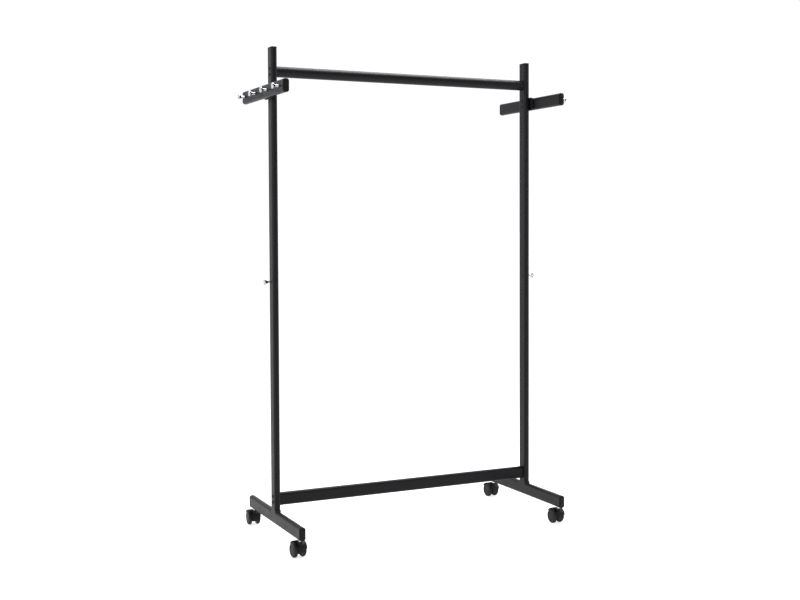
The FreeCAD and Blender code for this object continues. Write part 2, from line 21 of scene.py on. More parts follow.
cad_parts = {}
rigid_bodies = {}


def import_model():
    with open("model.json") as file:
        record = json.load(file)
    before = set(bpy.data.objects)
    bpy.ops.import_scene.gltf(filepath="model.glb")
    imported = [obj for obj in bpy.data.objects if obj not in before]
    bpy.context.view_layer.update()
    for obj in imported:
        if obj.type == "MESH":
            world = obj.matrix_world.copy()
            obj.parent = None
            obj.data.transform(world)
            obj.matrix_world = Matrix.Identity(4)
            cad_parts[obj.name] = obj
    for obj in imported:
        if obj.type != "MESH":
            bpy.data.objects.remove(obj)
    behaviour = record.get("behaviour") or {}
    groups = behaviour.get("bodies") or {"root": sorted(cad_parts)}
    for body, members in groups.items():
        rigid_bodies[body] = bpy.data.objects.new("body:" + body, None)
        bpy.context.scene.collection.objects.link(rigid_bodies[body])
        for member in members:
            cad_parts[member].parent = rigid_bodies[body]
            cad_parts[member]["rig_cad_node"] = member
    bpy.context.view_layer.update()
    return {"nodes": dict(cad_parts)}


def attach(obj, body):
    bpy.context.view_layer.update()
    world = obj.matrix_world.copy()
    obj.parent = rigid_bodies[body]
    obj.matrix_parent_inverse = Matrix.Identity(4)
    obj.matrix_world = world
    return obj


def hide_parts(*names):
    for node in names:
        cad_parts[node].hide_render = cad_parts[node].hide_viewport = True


LOG = logging.getLogger("coat_rack")
MM = 0.001
FULL_TURN = 2 * math.pi
NEARLY_STRAIGHT = math.radians(89)
# metres within which two points, or two heights, are the same
MERGE_DISTANCE = 1e-6
LEVEL = 1e-5
# how much of a unit direction lies on an axis when it runs along it, or less when across it
ALONG = 0.99
ACROSS = 0.5
# facets round a turned piece
FINE_FACETS = 96
STEM_FACETS = 72
ROD_FACETS = 48

Point2 = tuple[float, float]
# along, out and rounding of an outline's corner; or a point or a direction in space
Corner = tuple[float, float, float]
# says whether one vertex, edge or face is wanted
Rule = Callable[..., bool]

# the rack's own sizes, in millimetres
HALF_SPACING_MM = 487.25
POST_OUTER_MM = 497.75
POST_TOP_MM = 1650.0
FOOT_REACH_MM = 252.0
FOOT_AXIS_MM = 80.9
ARM_OUT_MM = 514.25
ARM_REACH_MM = 206.5
ARM_HEIGHT_MM = 1501.0


# ---- choices --------------------------------------------------------------------------
class Side(Enum):
    """Left or right half of the rack, as the sign of its X."""

    LEFT = -1
    RIGHT = 1

    @property
    def word(self) -> str:
        """The side as it is written in node names."""
        return self.name.lower()


class End(Enum):
    """Front or rear end of a foot or an arm, as the sign of its Y."""

    FRONT = -1
    REAR = 1

    @property
    def word(self) -> str:
        """The end as it is written in node names."""
        return self.name.lower()


class Element(Enum):
    """What an edit-mode selection picks, with Blender's own name for the mode."""

    VERTS = "VERT"
    EDGES = "EDGE"
    FACES = "FACE"


class Axis(Enum):
    """The axis a bar runs along, as its place in a vector."""

    X = 0
    Z = 2


class Join(Enum):
    """What one solid does to another, with Blender's own name for it."""

    UNITE = "UNION"
    CUT = "DIFFERENCE"


# ---- the bench: modelling with operators ----------------------------------------------
def start_piece(name: str, add: Callable[..., object], **settings: object) -> bpy.types.Object:
    """Adds one primitive with nothing else selected.

    Args:
        name: name of the new piece.
        add: the primitive operator.
        settings: the operator's own settings.

    Returns:
        The new object, active and selected.
    """
    bpy.ops.object.select_all(action="DESELECT")
    add(**settings)
    piece = bpy.context.view_layer.objects.active
    piece.name = name
    piece.data.name = name
    settle(piece)
    return piece


def make_active(piece: bpy.types.Object) -> None:
    """Selects this piece alone and makes it the active one."""
    bpy.ops.object.select_all(action="DESELECT")
    piece.select_set(True)
    bpy.context.view_layer.objects.active = piece


def settle(piece: bpy.types.Object) -> bpy.types.Object:
    """Moves a piece's place, turn and scale into its mesh.

    Args:
        piece: the object to settle.

    Returns:
        The same object, at the origin, unturned and unscaled.
    """
    make_active(piece)
    bpy.ops.object.transform_apply(location=True, rotation=True, scale=True)
    return piece


@contextmanager
def editing(piece: bpy.types.Object) -> Iterator[None]:
    """Edit mode on one piece, all its vertices selected, and back to object mode at the end."""
    make_active(piece)
    bpy.ops.object.mode_set(mode="EDIT")
    bpy.ops.mesh.select_mode(type=Element.VERTS.value)
    bpy.ops.mesh.select_all(action="SELECT")
    yield
    bpy.ops.object.mode_set(mode="OBJECT")


def pick(piece: bpy.types.Object, element: Element, rule: Rule) -> None:
    """Selects a piece's elements by their place or normal, in edit mode.

    Args:
        piece: the piece being edited.
        element: vertices, edges or faces.
        rule: says whether one element is wanted.
    """
    bpy.ops.mesh.select_mode(type=element.value)
    bpy.ops.mesh.select_all(action="DESELECT")
    mesh = bmesh.from_edit_mesh(piece.data)
    for item in filter(rule, getattr(mesh, element.name.lower())):
        item.select_set(True)
    mesh.select_flush_mode()
    bmesh.update_edit_mesh(piece.data)


def middle_of(edge: bmesh.types.BMEdge) -> Vector:
    """Midpoint of an edge."""
    return (edge.verts[0].co + edge.verts[1].co) / 2


def run_of(edge: bmesh.types.BMEdge) -> Vector:
    """Unit direction of an edge."""
    return (edge.verts[1].co - edge.verts[0].co).normalized()


def round_edges(piece: bpy.types.Object, rule: Rule, radius: float, segments: int) -> None:
    """Rounds the edges a rule picks, in edit mode.

    Args:
        piece: the piece being edited.
        rule: says whether an edge is rounded.
        radius: rounding radius, in millimetres.
        segments: facets across the rounding.
    """
    pick(piece, Element.EDGES, rule)
    bpy.ops.mesh.bevel(offset=radius * MM, segments=segments, profile=0.5, affect="EDGES")


def combine(piece: bpy.types.Object, other: bpy.types.Object, join: Join) -> None:
    """Unites a piece with another, or cuts it with the other, which is used up.

    Args:
        piece: the piece that stays.
        other: the piece that is used up.
        join: what the other does to it.
    """
    make_active(piece)
    boolean = piece.modifiers.new("Boolean", "BOOLEAN")
    boolean.object = other
    boolean.operation = join.value
    boolean.solver = "EXACT"
    bpy.ops.object.modifier_apply(modifier=boolean.name)
    bpy.data.objects.remove(other, do_unlink=True)
    with editing(piece):
        bpy.ops.mesh.remove_doubles(threshold=MERGE_DISTANCE)


def smooth(piece: bpy.types.Object, angle: float = 32.0) -> bpy.types.Object:
    """Shades a piece smooth, with edges sharper than an angle kept crisp.

    Args:
        piece: the piece to shade.
        angle: the sharpest angle, in degrees, that is smoothed over.

    Returns:
        The same piece.
    """
    make_active(piece)
    bpy.ops.object.shade_smooth_by_angle(angle=math.radians(angle))
    return piece


def copy_to(piece: bpy.types.Object, name: str, place: Matrix) -> bpy.types.Object:
    """Copies a piece with its own mesh and settles the copy at a place.

    Args:
        piece: the piece modelled at the origin.
        name: name of the copy.
        place: where the copy goes.

    Returns:
        The copy.
    """
    twin = piece.copy()
    twin.data = piece.data.copy()
    twin.name = name
    twin.data.name = name
    bpy.context.scene.collection.objects.link(twin)
    twin.matrix_world = place
    return settle(twin)


def rounded_outline(corners: Sequence[Corner], facets: int = 5) -> list[Point2]:
    """Turns an outline's corners into arcs.

    Args:
        corners: (along, out, rounding) for each corner; a rounding of 0 stays sharp.
        facets: straight steps across each arc.

    Returns:
        The outline's points, first and last corner as given.
    """
    points: list[Point2] = [corners[0][:2]]
    for before, here, after in zip(corners, corners[1:], corners[2:]):
        corner = Vector(here[:2])
        back = (Vector(before[:2]) - corner).normalized()
        on = (Vector(after[:2]) - corner).normalized()
        half = back.angle(on) / 2
        if here[2] <= 0 or half > NEARLY_STRAIGHT:
            points.append(here[:2])
            continue
        centre = corner + (back + on).normalized() * here[2] / math.sin(half)
        start = corner + back * here[2] / math.tan(half) - centre
        end = corner + on * here[2] / math.tan(half) - centre
        for step in range(facets + 1):
            spoke = start.lerp(end, step / facets).normalized() * here[2]
            points.append(tuple(centre + spoke))
    points.append(corners[-1][:2])
    return points


def arc_points(start: Point2, middle: Point2, end: Point2, facets: int) -> list[Point2]:
    """Points of the circle arc through three points, both ends left out.

    Args:
        start: first point.
        middle: a point on the arc.
        end: last point.
        facets: straight steps along the arc.

    Returns:
        The points between start and end.
    """
    (ax, ay), (bx, by), (cx, cy) = start, middle, end
    area = 2 * (ax * (by - cy) + bx * (cy - ay) + cx * (ay - by))
    a_square, b_square, c_square = ax * ax + ay * ay, bx * bx + by * by, cx * cx + cy * cy
    along = (a_square * (by - cy) + b_square * (cy - ay) + c_square * (ay - by)) / area
    out = (a_square * (cx - bx) + b_square * (ax - cx) + c_square * (bx - ax)) / area
    first = math.atan2(ay - out, ax - along)
    turn = math.atan2(cy - out, cx - along) - first
    turn = (turn + math.pi) % FULL_TURN - math.pi
    radius = math.hypot(ax - along, ay - out)
    angles = [first + turn * step / facets for step in range(1, facets)]
    return [(along + radius * math.cos(a), out + radius * math.sin(a)) for a in angles]


def draw_outline(name: str, points: Sequence[Point2]) -> bpy.types.Object:
    """Draws an outline in the XZ plane by pulling one vertex from point to point.

    Args:
        name: name of the piece it becomes.
        points: (x, z) of each point, in millimetres.

    Returns:
        The wire outline, left in object mode.
    """
    wire = start_piece(name, bpy.ops.mesh.primitive_plane_add, size=MM)
    with editing(wire):
        bpy.ops.mesh.merge(type="CENTER")
        bpy.ops.transform.translate(value=(points[0][0] * MM, 0.0, points[0][1] * MM))
        for (x0, z0), (x1, z1) in zip(points, points[1:]):
            bpy.ops.mesh.extrude_region_move(
                TRANSFORM_OT_translate={"value": ((x1 - x0) * MM, 0.0, (z1 - z0) * MM)}
            )
    return wire


def lathe(
    name: str, points: Sequence[Point2], facets: int = FINE_FACETS
) -> bpy.types.Object:
    """Turns an outline about the X axis.

    Args:
        name: name of the turned piece.
        points: (along X, radius) of each point in millimetres, from pole to pole.
        facets: flat steps round the piece.

    Returns:
        The closed, turned piece.
    """
    piece = draw_outline(name, points)
    with editing(piece):
        bpy.ops.mesh.spin(steps=facets, angle=FULL_TURN, center=(0, 0, 0), axis=(1, 0, 0))
        bpy.ops.mesh.select_all(action="SELECT")
        bpy.ops.mesh.remove_doubles(threshold=MERGE_DISTANCE)
        bpy.ops.mesh.normals_make_consistent(inside=False)
    return smooth(piece)


def slab(name: str, points: Sequence[Point2], half_width: float) -> bpy.types.Object:
    """Fills an outline drawn in the YZ plane and pulls it out along X, both ways.

    Args:
        name: name of the piece.
        points: (y, z) of each corner in millimetres, not repeating the first.
        half_width: half the thickness along X, in millimetres.

    Returns:
        The closed prism.
    """
    piece = draw_outline(name, [*points, points[0]])
    with editing(piece):
        bpy.ops.mesh.remove_doubles(threshold=MERGE_DISTANCE)
        bpy.ops.mesh.edge_face_add()
        bpy.ops.mesh.extrude_region_move(
            TRANSFORM_OT_translate={"value": (0.0, 2 * half_width * MM, 0.0)}
        )
        bpy.ops.mesh.select_all(action="SELECT")
        bpy.ops.transform.translate(value=(0.0, -half_width * MM, 0.0))
        bpy.ops.mesh.normals_make_consistent(inside=False)
    piece.matrix_world = Matrix.Rotation(math.pi / 2, 4, "Z")
    return settle(piece)


def rounded_bar(
    name: str, size: Corner, corner: float, run: Axis, segments: int = 10
) -> bpy.types.Object:
    """A bar centred on the origin with its four long edges rounded.

    Args:
        name: name of the bar.
        size: its X, Y and Z sizes in millimetres.
        corner: radius of the long edges, in millimetres.
        run: the axis it runs along.
        segments: facets across each rounding.

    Returns:
        The bar.
    """
    bar = start_piece(name, bpy.ops.mesh.primitive_cube_add, size=MM, scale=size)
    with editing(bar):
        round_edges(bar, lambda e: abs(run_of(e)[run.value]) > ALONG, corner, segments)
    return bar


def facing(side: Side) -> Matrix:
    """Turn that points a piece drawn towards +X to a side."""
    return Matrix.Rotation(0.0 if side is Side.RIGHT else math.pi, 4, "Z")


def at(x: float, y: float, z: float) -> Matrix:
    """Shift to a point given in millimetres."""
    return Matrix.Translation((x * MM, y * MM, z * MM))


def upright(piece: bpy.types.Object) -> bpy.types.Object:
    """Stands a piece drawn along X up along Z, and settles it."""
    piece.matrix_world = Matrix.Rotation(-math.pi / 2, 4, "Y")
    return settle(piece)


def flat_face(piece: bpy.types.Object, direction: Corner) -> None:
    """Picks the flat faces that look one way, in edit mode."""
    pick(piece, Element.FACES, lambda face: face.normal.dot(Vector(direction)) > ALONG)


def rod(name: str, radius: float, start: float, end: float) -> bpy.types.Object:
    """Plain round bar along X, in millimetres, for cutting holes and for short pins.

    Args:
        name: name of the bar.
        radius: its radius.
        start: X of one end.
        end: X of the other end.

    Returns:
        The bar.
    """
    return lathe(name, [(start, 0.0), (start, radius), (end, radius), (end, 0.0)], ROD_FACETS)


# ---- materials ------------------------------------------------------------------------
# detail and roughness of the noise behind each kind of unevenness
DRIFT_NOISE = (3.0, 0.55)
GLOSS_NOISE = (4.0, 0.6)
WAVE_NOISE = (1.0, 0.5)
GRAIN_NOISE = (2.0, 0.5)
# the band that nearly all of a noise pattern's values lie in
NOISE_BAND = (0.3, 0.7)


def linear(hex_colour: str) -> tuple[float, float, float, float]:
    """Linear colour of an sRGB hex value, by the standard's own curve.

    Args:
        hex_colour: such as "#1C1C1E".

    Returns:
        Red, green, blue and alpha for a shader socket.
    """
    channels = [int(hex_colour[i : i + 2], 16) / 255 for i in (1, 3, 5)]
    decoded = [c / 12.92 if c <= 0.04045 else ((c + 0.055) / 1.055) ** 2.4 for c in channels]
    return (decoded[0], decoded[1], decoded[2], 1.0)


def per_metre(size_mm: float) -> float:
    """Texture scale that gives a pattern of a real size."""
    return 1 / (size_mm * MM)


def add_node(
    tree: bpy.types.NodeTree,
    kind: str,
    settings: Mapping[str, object],
    links: Mapping[str, bpy.types.NodeSocket] | None = None,
) -> bpy.types.Node:
    """Adds a node, sets it and links its inputs.

    Args:
        tree: the material's node tree.
        kind: Blender's node type.
        settings: properties, then input values by identifier.
        links: output sockets for inputs, by identifier.

    Returns:
        The node.
    """
    node = tree.nodes.new(kind)
    properties = {k: v for k, v in settings.items() if k in node.bl_rna.properties}
    for key, value in properties.items():
        setattr(node, key, value)
    inputs = {socket.identifier: socket for socket in node.inputs}
    for key, value in settings.items():
        if key not in properties:
            inputs[key].default_value = value
    for key, source in (links or {}).items():
        tree.links.new(source, inputs[key])
    return node


@dataclass(frozen=True)
class Finish:
    """What every finish shares: colour drift, roughness drift and two sizes of surface grain.

    Sizes are real millimetres, and grain depths are millimetres too.
    """

    name: str
    slot: str
    colour: str
    colour_drift: str
    drift_mm: float
    roughness: tuple[float, float]
    rough_patch_mm: float
    grain_mm: float
    grain_depth_mm: float
    wave_mm: float
    wave_depth_mm: float
    metallic: float = 0.0
    specular: float = 0.5
    ior: float = 1.5
    stretch: tuple[float, float, float] = (1.0, 1.0, 1.0)

    def material(self) -> bpy.types.Material:
        """Builds the material, once.

        Returns:
            The finish's material, shared by every piece that wears it.
        """
        found = bpy.data.materials.get(self.name)
        if found is not None:
            return found
        made = bpy.data.materials.new(self.name)
        made.use_nodes = True
        tree = made.node_tree
        tree.nodes.clear()
        place = add_node(tree, "ShaderNodeTexCoord", {})
        spot = add_node(
            tree,
            "ShaderNodeMapping",
            {"Scale": self.stretch},
            {"Vector": place.outputs["Object"]},
        ).outputs["Vector"]
        shader = add_node(
            tree,
            "ShaderNodeBsdfPrincipled",
            {
                "Metallic": self.metallic,
                "IOR": self.ior,
                "Specular IOR Level": self.specular,
            },
            {
                "Base Color": self.tint(tree, spot),
                "Roughness": self.gloss(tree, spot),
                "Normal": self.relief(tree, spot),
            },
        )
        add_node(
            tree,
            "ShaderNodeOutputMaterial",
            {},
            {"Surface": shader.outputs["BSDF"]},
        )
        return made

    def tint(self, tree: bpy.types.NodeTree, spot: bpy.types.NodeSocket) -> bpy.types.NodeSocket:
        """Slow drift between the two colours.

        Args:
            tree: the material's node tree.
            spot: the pattern's coordinates.

        Returns:
            The colour output.
        """
        detail, roughness = DRIFT_NOISE
        patches = add_node(
            tree,
            "ShaderNodeTexNoise",
            {"Scale": per_metre(self.drift_mm), "Detail": detail, "Roughness": roughness},
            {"Vector": spot},
        )
        return add_node(
            tree,
            "ShaderNodeMix",
            {
                "data_type": "RGBA",
                "A_Color": linear(self.colour),
                "B_Color": linear(self.colour_drift),
            },
            {"Factor_Float": patches.outputs["Fac"]},
        ).outputs["Result"]

    def gloss(self, tree: bpy.types.NodeTree, spot: bpy.types.NodeSocket) -> bpy.types.NodeSocket:
        """Roughness that wanders between the finish's two values.

        Args:
            tree: the material's node tree.
            spot: the pattern's coordinates.

        Returns:
            The roughness output.
        """
        detail, roughness = GLOSS_NOISE
        patches = add_node(
            tree,
            "ShaderNodeTexNoise",
            {"Scale": per_metre(self.rough_patch_mm), "Detail": detail, "Roughness": roughness},
            {"Vector": spot},
        )
        return add_node(
            tree,
            "ShaderNodeMapRange",
            {
                "From Min": NOISE_BAND[0],
                "From Max": NOISE_BAND[1],
                "To Min": self.roughness[0],
                "To Max": self.roughness[1],
            },
            {"Value": patches.outputs["Fac"]},
        ).outputs["Result"]

    def relief(self, tree: bpy.types.NodeTree, spot: bpy.types.NodeSocket) -> bpy.types.NodeSocket:
        """Coarse wave and fine grain of the surface as bump.

        Args:
            tree: the material's node tree.
            spot: the pattern's coordinates.

        Returns:
            The normal output.
        """
        normal = None
        for size_mm, depth_mm, (detail, roughness) in (
            (self.wave_mm, self.wave_depth_mm, WAVE_NOISE),
            (self.grain_mm, self.grain_depth_mm, GRAIN_NOISE),
        ):
            bumps = add_node(
                tree,
                "ShaderNodeTexNoise",
                {"Scale": per_metre(size_mm), "Detail": detail, "Roughness": roughness},
                {"Vector": spot},
            )
            links = {"Height": bumps.outputs["Fac"]}
            if normal is not None:
                links["Normal"] = normal
            normal = add_node(
                tree,
                "ShaderNodeBump",
                {"Strength": 1.0, "Distance": depth_mm * MM},
                links,
            ).outputs["Normal"]
        return normal

    def dress(self, piece: bpy.types.Object) -> None:
        """Puts the finish on a new piece or a CAD node."""
        piece.data.materials.clear()
        piece.data.materials.append(self.material())


# Satin polyester powder coat, sprayed on blasted steel tube and baked: it flows out to a
# faint orange peel about 2 mm across and a few microns deep, which breaks the soft
# highlights along the rounded edges. Bluish black. The peel is drawn at 3 mm so it shows.
POWDER_COAT = Finish(
    name="satin_powder_coated_steel",
    slot="powder_coated_steel",
    colour="#101012",
    colour_drift="#141417",
    drift_mm=90.0,
    roughness=(0.38, 0.46),
    rough_patch_mm=45.0,
    grain_mm=0.6,
    grain_depth_mm=0.006,
    wave_mm=3.0,
    wave_depth_mm=0.011,
    specular=0.15,
    ior=1.5,
)

# Injection-moulded polyethylene end caps: spark-eroded mould grain of about 0.4 mm, a
# little lighter where the grain scatters, and a waxy low gloss.
CAP_PLASTIC = Finish(
    name="moulded_polyethylene",
    slot="cap_plastic",
    colour="#0A0A0B",
    colour_drift="#0F0F10",
    drift_mm=25.0,
    roughness=(0.46, 0.58),
    rough_patch_mm=12.0,
    grain_mm=0.5,
    grain_depth_mm=0.02,
    wave_mm=6.0,
    wave_depth_mm=0.02,
    specular=0.15,
    ior=1.51,
)

# Turned steel pegs, polished and bright chrome plated: mirror-like, with the faintest
# lathe rings left across the axis and a soft haze of handling.
CHROME = Finish(
    name="bright_chrome_plate",
    slot="polished_chrome",
    colour="#C6C9CE",
    colour_drift="#BDC0C6",
    drift_mm=18.0,
    roughness=(0.08, 0.14),
    rough_patch_mm=7.0,
    grain_mm=0.5,
    grain_depth_mm=0.0008,
    wave_mm=5.0,
    wave_depth_mm=0.002,
    metallic=1.0,
    stretch=(2.5, 0.4, 0.4),
)

# Steel socket screws with an oiled black oxide coat: a thin dark skin, matt grey-black,
# semi-gloss where the key rubs.
BLACK_SCREW = Finish(
    name="black_oxide_steel",
    slot="black_screw_steel",
    colour="#111112",
    colour_drift="#1A1A1B",
    drift_mm=4.0,
    roughness=(0.36, 0.46),
    rough_patch_mm=3.0,
    grain_mm=0.25,
    grain_depth_mm=0.004,
    wave_mm=2.0,
    wave_depth_mm=0.004,
    specular=0.2,
    ior=1.5,
)

# Dark passivated rivet nuts under the pegs: matt, slightly blotchy conversion layer.
DARK_PASSIVATE = Finish(
    name="dark_passivated_steel",
    slot="rivet_nut_steel",
    colour="#2A2A2C",
    colour_drift="#39383A",
    drift_mm=3.0,
    roughness=(0.38, 0.5),
    rough_patch_mm=2.5,
    grain_mm=0.3,
    grain_depth_mm=0.006,
    wave_mm=2.0,
    wave_depth_mm=0.004,
    metallic=1.0,
)

# Bright zinc electroplate on the castor stems: blue-white metal with a fine satin from
# the plating bath.
BRIGHT_ZINC = Finish(
    name="bright_zinc_plate",
    slot="zinc_plated_steel",
    colour="#D3D6DA",
    colour_drift="#C4C8CE",
    drift_mm=5.0,
    roughness=(0.18, 0.3),
    rough_patch_mm=4.0,
    grain_mm=0.3,
    grain_depth_mm=0.003,
    wave_mm=2.0,
    wave_depth_mm=0.004,
    metallic=1.0,
)

# Plain turned steel inside the tubes: only seen where a tube is opened.
PLAIN_STEEL = Finish(
    name="turned_mild_steel",
    slot="insert_steel",
    colour="#8F9094",
    colour_drift="#7C7D80",
    drift_mm=12.0,
    roughness=(0.35, 0.5),
    rough_patch_mm=6.0,
    grain_mm=0.4,
    grain_depth_mm=0.01,
    wave_mm=3.0,
    wave_depth_mm=0.01,
    metallic=1.0,
)

# Moulded nylon sleeve inside each foot.
SOCKET_PLASTIC = Finish(
    name="moulded_nylon_sleeve",
    slot="socket_plastic",
    colour="#101011",
    colour_drift="#161617",
    drift_mm=10.0,
    roughness=(0.45, 0.55),
    rough_patch_mm=6.0,
    grain_mm=0.4,
    grain_depth_mm=0.015,
    wave_mm=3.0,
    wave_depth_mm=0.01,
    specular=0.45,
    ior=1.53,
)

# Glass-filled nylon castor hoods: the fibres give a dry satin skin with faint flow marks
# 8 mm long.
GLASS_NYLON = Finish(
    name="moulded_glass_filled_nylon",
    slot="housing_plastic",
    colour="#0B0B0C",
    colour_drift="#101011",
    drift_mm=14.0,
    roughness=(0.34, 0.5),
    rough_patch_mm=8.0,
    grain_mm=0.45,
    grain_depth_mm=0.012,
    wave_mm=4.0,
    wave_depth_mm=0.02,
    specular=0.15,
    ior=1.53,
    stretch=(1.0, 0.5, 1.0),
)

# Nylon wheels, moulded unfilled: a shade greyer and duller than the hoods, with the soft
# mottling of thick mouldings that cool slowly.
WHEEL_NYLON = Finish(
    name="moulded_wheel_nylon",
    slot="wheel_plastic",
    colour="#0E0E0F",
    colour_drift="#151517",
    drift_mm=9.0,
    roughness=(0.4, 0.55),
    rough_patch_mm=6.0,
    grain_mm=0.4,
    grain_depth_mm=0.015,
    wave_mm=5.0,
    wave_depth_mm=0.015,
    specular=0.18,
    ior=1.53,
)


# ---- sub-assemblies -------------------------------------------------------------------
@dataclass
class Rack:
    """What the sub-assemblies share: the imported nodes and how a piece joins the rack."""

    nodes: Mapping[str, bpy.types.Object]
    root: str = "rack_frame"

    def add(
        self, piece: bpy.types.Object, finish: Finish, body: str, *stands_for: str
    ) -> None:
        """Dresses a new piece, rides it on its body and hides the nodes it stands for.

        Args:
            piece: the finished piece.
            finish: what it is made of.
            body: the body it moves with.
            stands_for: CAD nodes it replaces.
        """
        finish.dress(piece)
        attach(piece, body)
        if stands_for:
            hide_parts(*stands_for)
        LOG.info("%s on %s, %d faces", piece.name, body, len(piece.data.polygons))

    def keep(self, finish: Finish, *names: str) -> None:
        """Keeps CAD nodes as they are and gives them a finish.

        Args:
            finish: what they are made of.
            names: the nodes.
        """
        for name in names:
            finish.dress(self.nodes[name])
            LOG.info("%s kept, %s", name, finish.name)


@dataclass
class TubeFrame:
    """Posts, feet, arms, rail and beam: powder-coated tube with its hidden steel."""

    rack: Rack

    def build(self) -> None:
        """Dresses the tubes, screws and inserts."""
        tubes = ["top_rail", "bottom_beam"]
        for side in Side:
            tubes += [f"{side.word}_{part}" for part in ("post", "foot", "arm")]
        self.rack.keep(POWDER_COAT, *tubes)
        self.rack.keep(PLAIN_STEEL, "rail_end_inserts", "beam_end_inserts", "arm_nut_plates")
        self.rack.keep(BLACK_SCREW, "crossbar_screws", "arm_screws", "post_peg_screws")
        self.rack.keep(SOCKET_PLASTIC, "castor_sockets")


@dataclass
class EndCaps:
    """Ten plastic caps that close the posts, feet and arms.

    Lengths are millimetres; a cap is drawn with its flange from z = 0 up and its hollow
    plug below.
    """

    rack: Rack
    width: float = 21.6
    height: float = 43.6
    thickness: float = 4.5
    corner: float = 8.3
    outer_edge: float = 2.2
    outer_edge_facets: int = 6
    seam_edge: float = 0.25
    seam_edge_facets: int = 2
    plug_step: float = 1.95
    plug_depth: float = 8.0
    plug_wall: float = 2.0

    def model(self) -> bpy.types.Object:
        """Models one cap: rounded flange, then the hollow plug pulled out of its back."""
        size = (self.width, self.height, self.thickness)
        cap = rounded_bar("end_cap_pattern", size, self.corner, Axis.Z)
        top = self.thickness * MM
        with editing(cap):
            bpy.ops.transform.translate(value=(0.0, 0.0, top / 2))
            for rule, edge, facets in (
                (lambda e: middle_of(e).z > top - LEVEL, self.outer_edge, self.outer_edge_facets),
                (lambda e: middle_of(e).z < LEVEL, self.seam_edge, self.seam_edge_facets),
            ):
                round_edges(cap, rule, edge, facets)
            flat_face(cap, (0, 0, -1))
            bpy.ops.mesh.inset(thickness=(self.plug_step - self.seam_edge) * MM)
            self.pull(-self.plug_depth)
            bpy.ops.mesh.inset(thickness=self.plug_wall * MM)
            self.pull(self.plug_depth)
        return smooth(cap)

    @staticmethod
    def pull(distance: float) -> None:
        """Pulls the picked face out along Z, in edit mode."""
        bpy.ops.mesh.extrude_region_move(
            TRANSFORM_OT_translate={"value": (0.0, 0.0, distance * MM)}
        )

    def lying(self, end: End) -> Matrix:
        """Turn that lays a cap on the front or rear end of a bar along Y."""
        turn = Matrix.Rotation(-math.pi / 2, 4, "X")
        if end is End.FRONT:
            turn = Matrix.Rotation(math.pi, 4, "Z") @ turn
        return turn

    def build(self) -> None:
        """Places the ten caps."""
        pattern = self.model()
        for side in Side:
            x = side.value * HALF_SPACING_MM
            self.place(pattern, f"{side.word}_post_cap", at(x, 0, POST_TOP_MM - self.thickness))
            for bar, out, reach, z in (
                ("foot", HALF_SPACING_MM, FOOT_REACH_MM, FOOT_AXIS_MM),
                ("arm", ARM_OUT_MM, ARM_REACH_MM, ARM_HEIGHT_MM),
            ):
                for end in End:
                    spot = at(side.value * out, end.value * (reach - self.thickness), z)
                    name = f"{side.word}_{bar}_{end.word}_cap"
                    self.place(pattern, name, spot @ self.lying(end))
        bpy.data.objects.remove(pattern, do_unlink=True)

    def place(self, pattern: bpy.types.Object, name: str, spot: Matrix) -> None:
        """Puts one copy of the cap in its bar and dresses it."""
        cap = copy_to(pattern, f"{name}_finished", spot)
        self.rack.add(cap, CAP_PLASTIC, self.rack.root, name)


@dataclass
class ArmSpacers:
    """The rounded plastic blocks that hold each arm off its post. Lengths in millimetres."""

    rack: Rack
    gap: float = 6.0
    length: float = 76.0
    height: float = 46.0
    corner: float = 9.0
    edge: float = 0.9
    edge_facets: int = 4
    screw_pitch: float = 20.0
    screw_hole: float = 3.25

    def build(self) -> None:
        """Models one spacer with its two screw holes and places one on each side."""
        size = (self.gap, self.length, self.height)
        pattern = rounded_bar("spacer_pattern", size, self.corner, Axis.X)
        with editing(pattern):
            round_edges(
                pattern, lambda e: abs(run_of(e).x) < ACROSS, self.edge, self.edge_facets
            )
        for offset in (-self.screw_pitch / 2, self.screw_pitch / 2):
            drill = rod("screw_drill", self.screw_hole, -self.gap, self.gap)
            drill.matrix_world = at(0, 0, offset)
            combine(pattern, settle(drill), Join.CUT)
        smooth(pattern)
        for side in Side:
            out = side.value * (POST_OUTER_MM + self.gap / 2)
            name = f"{side.word}_arm_spacer"
            spacer = copy_to(pattern, f"{name}_finished", at(out, 0, ARM_HEIGHT_MM))
            self.rack.add(spacer, CAP_PLASTIC, self.rack.root, name)
        bpy.data.objects.remove(pattern, do_unlink=True)


